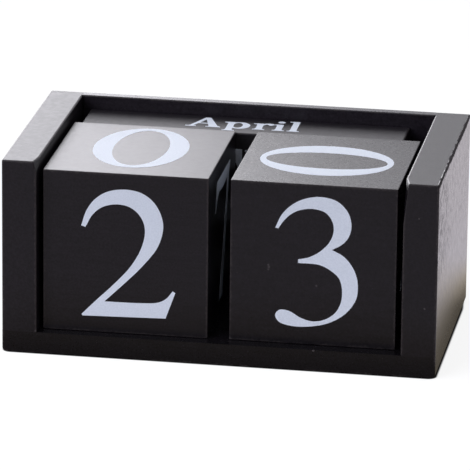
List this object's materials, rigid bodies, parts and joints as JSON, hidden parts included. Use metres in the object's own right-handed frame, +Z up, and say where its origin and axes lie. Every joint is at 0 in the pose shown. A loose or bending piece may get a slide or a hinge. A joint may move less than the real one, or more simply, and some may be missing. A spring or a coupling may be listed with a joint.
{
  "type": "desk calendar",
  "caption": "Perpetual desk calendar: an open-front wooden tray that holds loose number cubes in front of a stack of month bars, which are lifted out and turned to set the date.",
  "frame": {"origin": "middle of the tray's underside, in the plane it rests on", "axes": "+X along the tray from left to right as seen from the open front, +Y from the open front to the back panel, +Z up"},
  "size_m": [0.131, 0.075, 0.0601],
  "materials": {
    "tray_paint": "satin black paint over open-grained wood",
    "block_paint": "satin black paint over close-grained wood",
    "print_ink": "matt off-white printed ink",
    "nail_steel": "bright wire"
  },
  "bodies": {
    "tray": {"base_board": "tray_paint", "left_side_board": "tray_paint", "right_side_board": "tray_paint", "back_panel": "tray_paint", "base_nails": "nail_steel"},
    "left_cube": {"left_number_cube": "block_paint"},
    "right_cube": {"right_number_cube": "block_paint"},
    "bottom_bar": {"month_bar_bottom": "block_paint"},
    "middle_bar": {"month_bar_middle": "block_paint"},
    "top_bar": {"month_bar_top": "block_paint"}
  },
  "joints": [
    {"name": "left_cube_lift", "type": "slide", "parent": "tray", "child": "left_cube", "axis": [0, 0, 1], "range_m": [0, 0.062]},
    {"name": "right_cube_lift", "type": "slide", "parent": "tray", "child": "right_cube", "axis": [0, 0, 1], "range_m": [0, 0.062]},
    {"name": "bottom_bar_lift", "type": "slide", "parent": "tray", "child": "bottom_bar", "axis": [0, 0, 1], "range_m": [0, 0.062]},
    {"name": "middle_bar_lift", "type": "slide", "parent": "bottom_bar", "child": "middle_bar", "axis": [0, 0, 1], "range_m": [0, 0.046]},
    {"name": "top_bar_lift", "type": "slide", "parent": "middle_bar", "child": "top_bar", "axis": [0, 0, 1], "range_m": [0, 0.03]}
  ]
}
